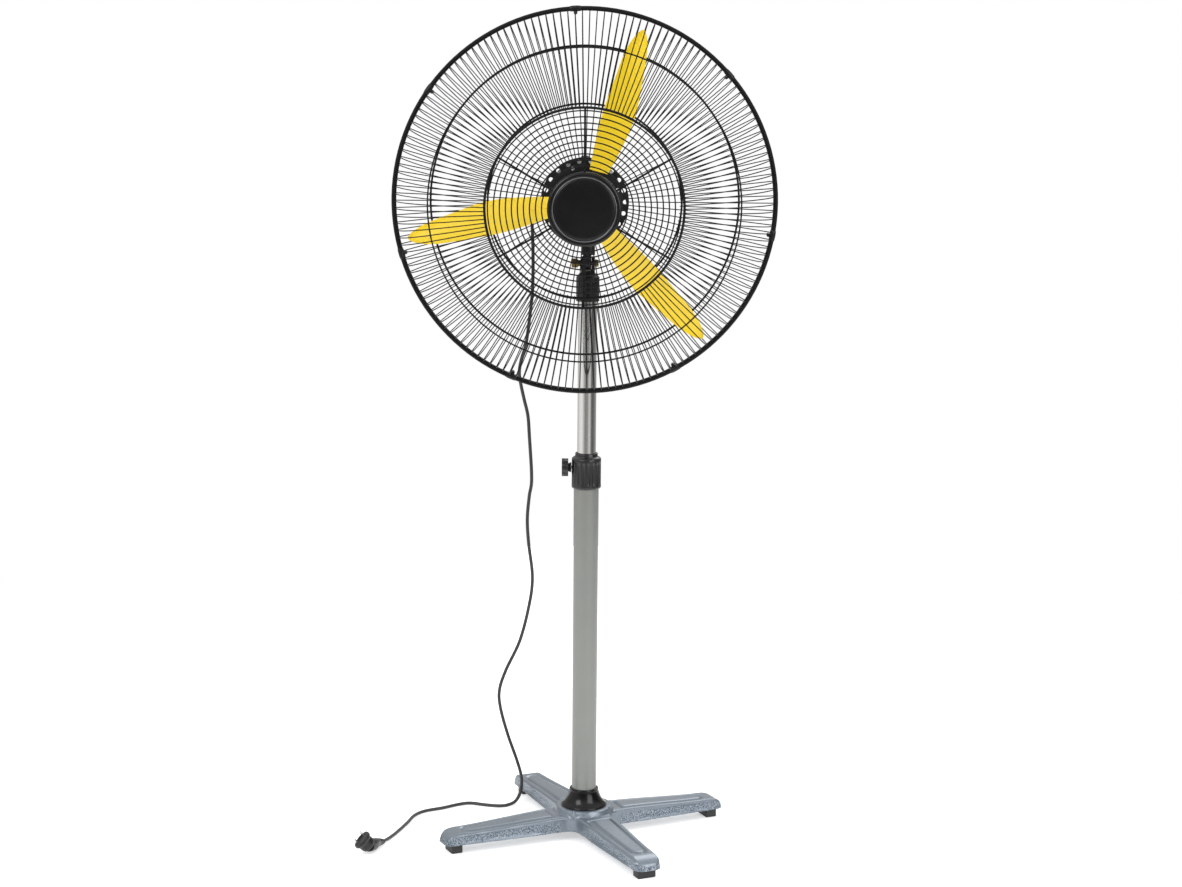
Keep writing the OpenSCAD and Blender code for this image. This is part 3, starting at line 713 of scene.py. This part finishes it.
def add_clips(sizes):
    """Folded straps that hold the two rims together, each with a screw and a nut."""
    rim_r = sizes["rim_r"] / MM
    half_wide = sizes["wire"] / MM / 2 + CLIP_T
    half_deep = sizes["wire"] / MM + CLIP_T
    ear = Vector((rim_r - half_wide - 2.2, 0, 0))
    block = lathe([(3.4, -EAR_LONG), (4, 0.6 - EAR_LONG), (4, EAR_LONG - 0.6), (3.4, EAR_LONG)], 6)
    x, z = head_axis()
    quarter = Matrix.Rotation(math.pi / 2, 4, "X")
    straps, screws = [], []
    for k in range(CLIPS):
        turn = math.radians(FIRST_CLIP) + 2 * math.pi * k / CLIPS
        where = Matrix.Translation((x, sizes["plane"], z)) @ Matrix.Rotation(-turn, 4, "Y")
        seat = ear - Vector((0, EAR_LONG, 0))
        straps.append(placed(strap(strap_section(half_wide, half_deep), rim_r), where))
        straps.append(placed(block, where @ Matrix.Translation(ear * MM) @ quarter))
        screws.append(placed(screw_head(3, 2.2), where @ Matrix.Translation(seat * MM) @ quarter))
    clips = new_object("guard_clip_straps", *joined(straps))
    weld(clips, 1e-7)
    stand_for(clips, "black_clip", "head", "guard_clips")
    heads = new_object("guard_clip_screws", *joined(screws), crease=50)
    stand_for(heads, "black_clip", "head", "clip_screws")


CAP_PROFILE = [
    (0.5, 9), (69.6, 9), (70, 8.4), (70, 4), (69.7, 2.6), (68.8, 1.2), (67.4, 0.2), (65.5, -0.4),
    (63.2, -0.5), (62, -0.2), (61.4, 0.5), (58.6, 0.5), (58, -0.2), (56.5, -0.8), (50, -1.4),
    (40, -2), (26, -2.6), (12, -2.9), (0.5, -3),
]


def add_cap():
    """The round cap over the panel's middle, its rim rolled over a groove for the bright ring."""
    x, ring_y, z = middle("cap_ring")
    where = along_axis((0, 1, 0), (x, ring_y, z))
    cap = new_object("guard_cap_disc", *placed(lathe(CAP_PROFILE, 160), where))
    weld(cap, 1e-7)
    stand_for(cap, "cap_plastic", "head", "guard_cap")


# ---- blades ----

TIP_R = 348
ROOT_PITCH = 38
TIP_PITCH = 24
FIRST_BLADE = 72
BLADE_T = 2
AXIS_V = 8
FLAT_TO = 130
BLADE_CUTS = 14
# distance from the axis, trailing edge, leading edge
BLADE_OUTLINE = [
    (66, -12, 25), (98, -16, 31), (130, -19.5, 36), (165, -22, 39.5), (200, -22.5, 39.5),
    (240, -21, 34), (280, -20, 28), (310, -16.5, 22.5), (330, -11, 16), (342, -5, 10), (348, 0.5, 4.5),
]


def blade_point(row, share, side):
    """A corner of the sheet in the blade's own frame: along it, backward, across it."""
    u, trailing, leading = row
    w = trailing + (leading - trailing) * share - AXIS_V
    bend = max(0.0, u - FLAT_TO)
    pitch = math.radians(ROOT_PITCH + (TIP_PITCH - ROOT_PITCH) * bend / (TIP_R - FLAT_TO))
    bulge = 16 * min(1.0, bend / 60) * share * (1 - share)
    half = BLADE_T / 2 * (1 if 0.01 < share < 0.99 else 0.5)
    return u, w * math.tan(pitch) + side * half / math.cos(pitch) + bulge, w


def blade_sheet(rows, shares, turn, hub):
    """Points and faces of one blade, turned about the axis through the hub's middle."""
    out = Vector((math.cos(turn), 0, math.sin(turn)))
    over = Vector((math.sin(turn), 0, -math.cos(turn)))
    loop = [(f, -1) for f in shares] + [(f, 1) for f in reversed(shares)]
    points = []
    for row in rows:
        for share, side in loop:
            u, back, w = blade_point(row, share, side)
            points.append(hub + (out * u + over * (w + AXIS_V) + Vector((0, back, 0))) * MM)
    per = len(loop)
    faces = bands(len(rows) - 1, per)
    tip = (len(rows) - 1) * per
    for j in range(len(shares) - 1):
        root_face = (j, j + 1, per - 2 - j, per - 1 - j)
        faces.append(tuple(reversed(root_face)))
        faces.append(tuple(tip + i for i in root_face))
    return points, faces


def add_blades():
    rows = curve_through(BLADE_OUTLINE, 5)
    shares = [0, 0.012] + [j / BLADE_CUTS for j in range(1, BLADE_CUTS)] + [0.988, 1]
    x, z = head_axis()
    hub = Vector((x, middle("blade_hub")[1] - 2 * MM, z))
    for k in range(3):
        turn = math.radians(FIRST_BLADE + 120 * k)
        blade = new_object(f"blade_sheet_{k + 1}", *blade_sheet(rows, shares, turn, hub))
        stand_for(blade, "blade_yellow", "rotor", f"blade_{k + 1}")


# ---- cast base: one leg along +X, then four of them turned about the pole ----

LEG_TURN = 24.8
LEG_REACH = 315
NOSE_HALF = 26.4
ROOT_HALF = 39
CORNER = 16
VALLEY = 24
FOOT_H = 20
HUB_TOP = 62
NOSE_TOP = 43
EDGE = 5
BOSS_R = 61
PAD_AT = 291
NOSE_BEND = 282
NOSE_DROP = 21
LEG_FALL = 8
PANEL_START = 78
PANEL_END = 258
PANEL_INSET = 13
GROOVE_DEEP = 3
FLARE = 2.5
RECESS = 2
WALL = 5.3
HOLLOW = 11
# distances in from a leg's edge at which its top is cut, and shares of the height down its side
INSETS = [0, 0.4, 1.2, 2.4, 3.8, 5, 5.6, 8, 10, 11.5, 13, 14.5, 16, 18, 22, 27, 32, 38]
LEVELS = [0, 0.07, 0.12, 0.18, 0.5, 0.82, 0.88, 0.93, 1]


def side_line(x):
    return ROOT_HALF + (NOSE_HALF - ROOT_HALF) * x / LEG_REACH


def valley_middle():
    """Distance along and across at which the valley's rounding is centred, on the diagonal."""
    lean = (ROOT_HALF - NOSE_HALF) / LEG_REACH
    return (ROOT_HALF + VALLEY) / (1 + lean)


def valley_start():
    """Distance along a leg, and across it, at which its edge leaves the diagonal."""
    return valley_middle() - VALLEY * math.sqrt(0.5)


def half_width(x):
    """Half the leg's width; inside the valley it follows the diagonal to the next leg."""
    c = valley_middle()
    if x <= valley_start():
        return x
    if x < c:
        return c - math.sqrt(VALLEY ** 2 - (x - c) ** 2)
    straight = side_line(x)
    run = x - (LEG_REACH - CORNER)
    if run <= 0:
        return straight
    return straight - CORNER + math.sqrt(max(CORNER ** 2 - run ** 2, 0))


def outline():
    """Points of one leg's edge, from the valley round the nose to the next valley."""
    low = valley_start()
    xs = [low + (LEG_REACH - low) * k / 220 for k in range(221)]
    one = [(x, half_width(x)) for x in xs]
    nose = half_width(LEG_REACH)
    end = [(LEG_REACH, nose * (1 - k / 6)) for k in range(1, 12)]
    return one + end + [(x, -y) for x, y in reversed(one)]


def crown(x, y):
    """Top of the casting before its edges are rounded: boss, sloping leg and dropping nose."""
    r = math.hypot(x, y)
    leg = NOSE_TOP + LEG_FALL * (1 - smooth_step(r, 60, 290))
    droop = min(1.0, max(0.0, (x - NOSE_BEND) / (LEG_REACH + 2 - NOSE_BEND)))
    leg -= NOSE_DROP * (1 - math.sqrt(1 - droop * droop))
    return leg + (HUB_TOP - leg) * (1 - smooth_step(r, BOSS_R - 4, BOSS_R + 1))


def panel(x, y):
    """Relief of the long panel on top of a leg: a groove round it and a slight rise inside."""
    if x > PANEL_END:
        edge = math.hypot(x - PANEL_END, y) - (half_width(PANEL_END) - PANEL_INSET)
    else:
        edge = max(abs(y) - half_width(x) + PANEL_INSET, PANEL_START - x)
    return -GROOVE_DEEP * math.exp(-(edge / 2.6) ** 2) + 1.1 * (1 - smooth_step(edge, -5, 0))


def stations():
    """Distances along a leg at which it's cut, closer together where it bends."""
    low = valley_start()
    along = [0, 15, 30, low - 4]
    along += [low + (valley_middle() - low) * k / 8 for k in range(9)]
    along += [64 + 2 * k for k in range(12)]
    along += [88 + 8.5 * k for k in range(20)]
    along += [254 + 2.5 * k for k in range(19)]
    along += [LEG_REACH - CORNER + CORNER * math.sin(math.radians(a)) for a in range(9, 91, 9)]
    return along


def across(x):
    """Places across a leg, as far from its edge as the insets say while there is room."""
    w = half_width(x)
    deepest = INSETS[-1]
    crowding = 1 if x <= valley_start() else max(1, deepest / w)
    right = [w * (1 - i / deepest) ** crowding for i in INSETS]
    return right + [-y for y in reversed(right[:-1])]


def top_height(x, y, to_edge):
    """Height of the leg's top, rounded over towards its edge."""
    d = min(to_edge, EDGE)
    drop = EDGE - math.sqrt(max(EDGE ** 2 - (EDGE - d) ** 2, 0))
    return crown(x, y) + panel(x, y) - drop


def under_height(x, y, to_edge):
    """Height of the hollow underside, with its wall, pad boss and middle boss left standing."""
    solid = to_edge < WALL or math.hypot(x - PAD_AT, y) < 20 or 42 < math.hypot(x, y) < 47
    return FOOT_H if solid else FOOT_H + HOLLOW


def side_column(point, away):
    """Points down a leg's side under an edge point: flared at the foot, recessed in between."""
    x, y, z = point
    away = away * smooth_step(x, 84, 130)
    along = smooth_step(x, 84, 90) * (1 - smooth_step(x, 272, 278)) if abs(y) > 20 else 0
    column = []
    for level in LEVELS:
        down = smooth_step(level, 0.07, 0.18) * (1 - smooth_step(level, 0.82, 0.93))
        out = away * (FLARE * level - RECESS * along * down)
        column.append((x + out.x, y + out.y, z + (FOOT_H - z) * level))
    return column


def leg_surface(height, flip):
    """Points and faces of a leg's top or underside."""
    rim = outline()
    grid = [[(x, y) for y in across(x)] for x in stations()]
    points = []
    for row in grid:
        for x, y in row:
            to_edge = min(math.hypot(x - a, y - b) for a, b in rim)
            points.append((x, y, height(x, y, to_edge)))
    per = len(grid[0])
    faces = []
    for i in range(len(grid) - 1):
        for j in range(per - 1):
            a = i * per + j
            face = (a, a + per, a + per + 1, a + 1)
            faces.append(tuple(reversed(face)) if flip else face)
    return points, faces


def leg_rim():
    """Numbers of the surface points that lie on a leg's free edge, in order round it."""
    rows = len(stations())
    per = 2 * len(INSETS) - 1
    right = [i * per for i in range(4, rows)]
    nose = [(rows - 1) * per + j for j in range(1, per - 1)]
    left = [i * per + per - 1 for i in reversed(range(4, rows))]
    return right + nose + left


def leg():
    """Points and faces of one leg: its top, its underside and the sides between them."""
    top, top_faces = leg_surface(top_height, False)
    under, under_faces = leg_surface(under_height, True)
    ring = leg_rim()
    columns = []
    for k, at in enumerate(ring):
        back, ahead = top[ring[max(k - 1, 0)]], top[ring[min(k + 1, len(ring) - 1)]]
        away = Vector((back[1] - ahead[1], ahead[0] - back[0])).normalized()
        columns.append(side_column(top[at], away))
        under[at] = columns[-1][-1]
    per = len(LEVELS)
    sides = [(i * per + j, i * per + j + 1, (i + 1) * per + j + 1, (i + 1) * per + j)
             for i in range(len(columns) - 1) for j in range(per - 1)]
    side_points = [p for column in columns for p in column]
    return joined([(top, top_faces), (under, under_faces), (side_points, sides)])


def is_coarse(face):
    """Whether a face of the base is on a leg's side, where the dimples are coarse."""
    x, y, z = face.center / MM
    along = (math.degrees(math.atan2(y, x)) - LEG_TURN + 45) % 90 - 45
    reach = math.hypot(x, y) * math.cos(math.radians(along))
    return abs(face.normal.z) < 0.4 and reach > 68 and FOOT_H + 0.5 < z < NOSE_TOP - EDGE


def add_base():
    points, faces = leg()
    legs = []
    for k in range(4):
        turn = Matrix.Rotation(math.radians(LEG_TURN + 90 * k), 4, "Z")
        legs.append(placed((points, faces), turn))
    base = new_object("base_casting", *joined(legs))
    weld(base, 0.00002)
    base.data.materials.append(hammertone("hammertone_smooth", 0.12))
    base.data.materials.append(hammertone("hammertone_coarse", 1.0))
    for face in base.data.polygons:
        face.material_index = 1 if is_coarse(face) else 0
    stand_for(base, "hammered_paint", "stand", "base")


# ---- studio ----

FLOOR_R = 2.8
# what a shiny surface sees round the studio: position of a turn from behind, and brightness
STUDIO_BANDS = [
    (0.00, 0.55), (0.17, 0.69), (0.23, 0.88), (0.32, 0.95), (0.36, 0.78), (0.42, 0.38), (0.46, 0.25),
    (0.53, 0.33), (0.57, 0.60), (0.61, 0.66), (0.645, 0.24), (0.69, 0.13), (0.74, 0.13),
    (0.83, 0.30), (1.00, 0.55),
]


def math_node(tree, operation, *sources):
    node = tree.nodes.new("ShaderNodeMath")
    node.operation = operation
    for slot, source in zip(node.inputs, sources):
        if isinstance(source, (int, float)):
            slot.default_value = source
        else:
            tree.links.new(source, slot)
    return node.outputs["Value"]


def remap(tree, source, low, high):
    """The source's run from low to high spread over 0 to 1."""
    node = tree.nodes.new("ShaderNodeMapRange")
    node.inputs["From Min"].default_value = low
    node.inputs["From Max"].default_value = high
    tree.links.new(source, node.inputs["Value"])
    return node.outputs["Result"]


def mixed(tree, share, first, second):
    """The first colour fading into a plain second one."""
    node = tree.nodes.new("ShaderNodeMix")
    node.data_type = "RGBA"
    node.inputs["B"].default_value = (*second, 1)
    tree.links.new(share, node.inputs["Factor"])
    tree.links.new(first, node.inputs["A"])
    return node.outputs["Result"]


def studio_bands(tree, place):
    """Bright and dark panels round the object, by the direction's turn about the pole."""
    back = math_node(tree, "MULTIPLY", place["Y"], -1)
    turn = math_node(tree, "ARCTAN2", place["X"], back)
    node = tree.nodes.new("ShaderNodeValToRGB")
    for spot, _ in STUDIO_BANDS[1:-1]:
        node.color_ramp.elements.new(spot)
    for element, (spot, bright) in zip(node.color_ramp.elements, STUDIO_BANDS):
        element.position = spot
        element.color = (bright, bright * 0.985, bright * 0.96, 1)
    tree.links.new(remap(tree, turn, -math.pi, math.pi), node.inputs["Fac"])
    return node.outputs["Color"]


def studio_world():
    """White to the camera; to the lighting, panels round the object under a bright sky."""
    world = bpy.data.worlds.new("studio")
    bpy.context.scene.world = world
    world.use_nodes = True
    tree = world.node_tree
    background = tree.nodes["Background"]
    where = tree.nodes.new("ShaderNodeTexCoord")
    parts = tree.nodes.new("ShaderNodeSeparateXYZ")
    tree.links.new(where.outputs["Generated"], parts.inputs["Vector"])
    upward = remap(tree, parts.outputs["Z"], 0.35, 0.7)
    around = mixed(tree, upward, studio_bands(tree, parts.outputs), (1.15, 1.15, 1.15))
    ray = tree.nodes.new("ShaderNodeLightPath")
    seen = mixed(tree, ray.outputs["Is Camera Ray"], around, (1, 1, 1))
    tree.links.new(seen, background.inputs["Color"])
    background.inputs["Strength"].default_value = 1.0


def add_floor():
    """A plain white disc that glows faintly, so that it meets the white surround."""
    turns = [math.radians(a) for a in range(0, 360, 5)]
    ring = [(FLOOR_R * math.cos(a), FLOOR_R * math.sin(a), 0) for a in turns]
    floor = new_object("floor", ring, [tuple(range(len(ring)))])
    material, shader = new_material("floor_white", (0.9, 0.9, 0.9), 0.7)
    wash = texture(material, "ShaderNodeTexNoise", 0.6)
    vary_color(material, shader, wash, (0.9, 0.9, 0.9), (0.92, 0.92, 0.92))
    shader.inputs["Specular IOR Level"].default_value = 0.2
    shader.inputs["Emission Color"].default_value = (1, 1, 1, 1)
    shader.inputs["Emission Strength"].default_value = 0.45
    paint(floor, material)


# each lamp's name, place, size and power
LAMPS = [
    ("key", (-2.6, -3.2, 3.6), 2.2, 90),
    ("fill", (3.0, -3.0, 2.4), 2.6, 85),
    ("rim", (1.2, 3.2, 3.2), 2.4, 45),
]
LAMPS_FACE = Vector((0, 0, 0.9))


def add_lamp(name, place, size, power):
    """A soft square lamp that faces the fan's middle."""
    data = bpy.data.lights.new(name, "AREA")
    data.energy = power
    data.size = size
    lamp = bpy.data.objects.new(name, data)
    bpy.context.scene.collection.objects.link(lamp)
    lamp.location = place
    toward = LAMPS_FACE - Vector(place)
    lamp.rotation_euler = toward.to_track_quat("-Z", "Y").to_euler()


def add_studio():
    bpy.context.scene.view_settings.view_transform = "Standard"
    studio_world()
    add_floor()
    for name, place, size, power in LAMPS:
        add_lamp(name, place, size, power)


def paint_everything():
    """Every shown piece takes the material of its slot."""
    table = material_table()
    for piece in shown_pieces():
        if piece.name in SLOTS:
            paint(piece, table[SLOTS[piece.name]])
        elif piece.name != "base_casting":
            paint(piece, table[piece["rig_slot"]])


def main():
    add_camera()
    add_cords()
    sizes = guard_sizes()
    add_front_wires(sizes)
    add_rear_wires(sizes)
    add_clips(sizes)
    add_cap()
    add_blades()
    add_softened()
    for node, facing in SCREWS.items():
        add_screws(node, facing)
    add_bearings()
    add_pole_fittings()
    add_base()
    paint_everything()
    add_studio()


main()
